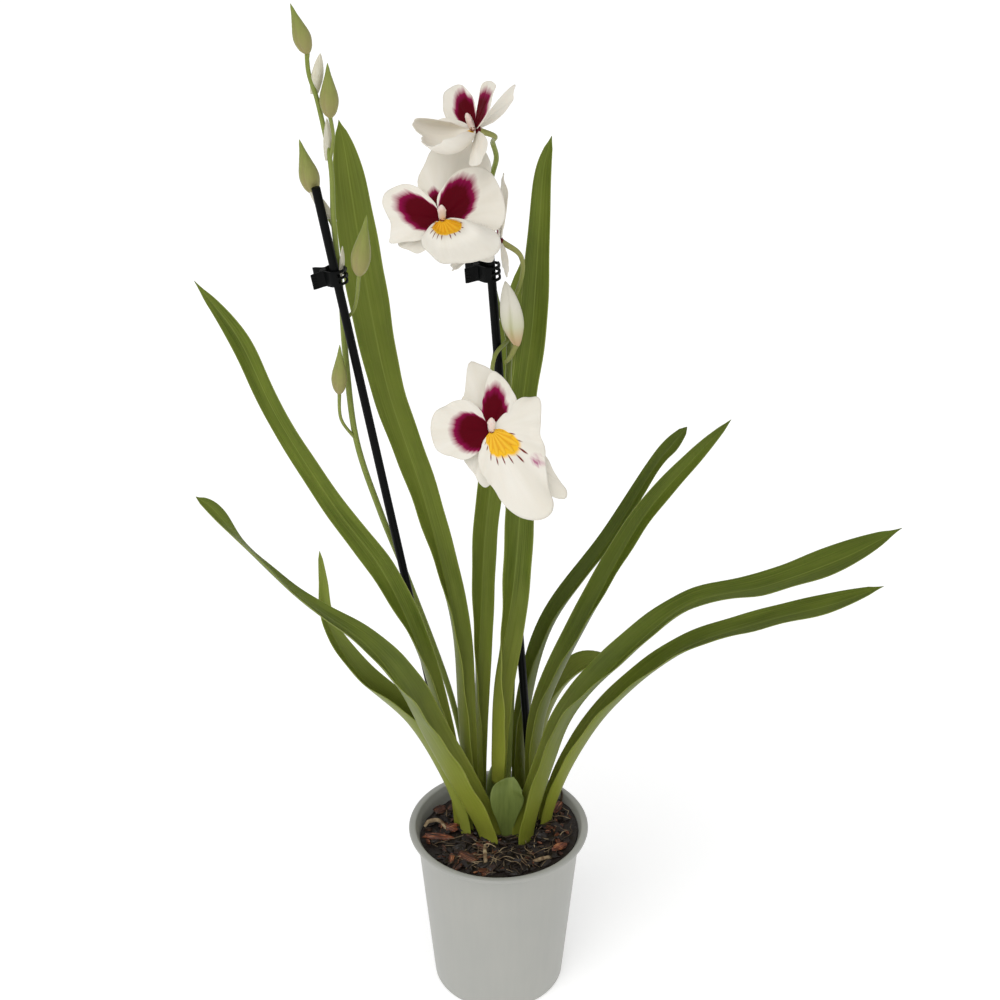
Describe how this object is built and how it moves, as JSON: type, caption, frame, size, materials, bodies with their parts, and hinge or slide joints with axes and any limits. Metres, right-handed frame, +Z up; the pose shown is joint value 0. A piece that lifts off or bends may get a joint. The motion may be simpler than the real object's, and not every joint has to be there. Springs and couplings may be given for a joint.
{
  "type": "pansy orchid",
  "caption": "Pansy orchid in a round plastic grower's pot, with strap leaves, a bare budding spike and a blooming one, each held to a stake by a sprung clip.",
  "frame": {"origin": "centre of the pot's underside", "axes": "+Z up along the pot's axis; -Y the side that the blooms face; +X to the right seen from there"},
  "size_m": [0.4032, 0.2059, 0.6641],
  "materials": {
    "pot": "satin",
    "bark": "matte",
    "root": "matte",
    "leaf": "satin",
    "bulb": "satin",
    "stem": "satin",
    "petal": "matte",
    "crest": "matte",
    "column": "satin",
    "stake": "satin",
    "clip": "satin",
    "spring": "satin"
  },
  "bodies": {
    "plant": {"bloom_behind_column": "column", "bloom_behind_crest": "crest", "bloom_behind_petals": "petal", "bloom_low_column": "column", "bloom_low_crest": "crest", "bloom_low_petals": "petal", "bloom_middle_column": "column", "bloom_middle_crest": "crest", "bloom_middle_petals": "petal", "bloom_top_column": "column", "bloom_top_crest": "crest", "bloom_top_petals": "petal", "growing_medium": "bark", "leaf_back_right": "leaf", "leaf_centre": "leaf", "leaf_far_left": "leaf", "leaf_front_left": "leaf", "leaf_front_right": "leaf", "leaf_low_right": "leaf", "leaf_mid_left": "leaf", "leaf_right_bent": "leaf", "leaf_right_upright": "leaf", "leaf_short_left": "leaf", "leaf_tall_left": "leaf", "left_clip_back_jaw": "clip", "left_clip_spring": "spring", "left_flower_spike": "stem", "left_stake": "stake", "opening_bud": "petal", "pot": "pot", "pseudobulb_back": "bulb", "pseudobulb_front": "bulb", "right_clip_back_jaw": "clip", "right_clip_spring": "spring", "right_flower_spike": "stem", "right_stake": "stake", "root_front": "root", "root_left": "root", "root_right": "root"},
    "left_clip_front": {"left_clip_front_jaw": "clip"},
    "right_clip_front": {"right_clip_front_jaw": "clip"}
  },
  "joints": [
    {"name": "left_clip_hinge", "type": "hinge", "parent": "plant", "child": "left_clip_front", "pos_m": [-0.101, 0.0205, 0.504], "axis": [0.1682, 0.0201, -0.9855], "range_deg": [0, 25], "stiffness_Nm_per_rad": 0.02, "springref_deg": -17.19},
    {"name": "right_clip_hinge", "type": "hinge", "parent": "plant", "child": "right_clip_front", "pos_m": [-0.0122, 0.0085, 0.512], "axis": [0.0699, 0.0512, -0.9962], "range_deg": [0, 25], "stiffness_Nm_per_rad": 0.02, "springref_deg": -17.19}
  ]
}
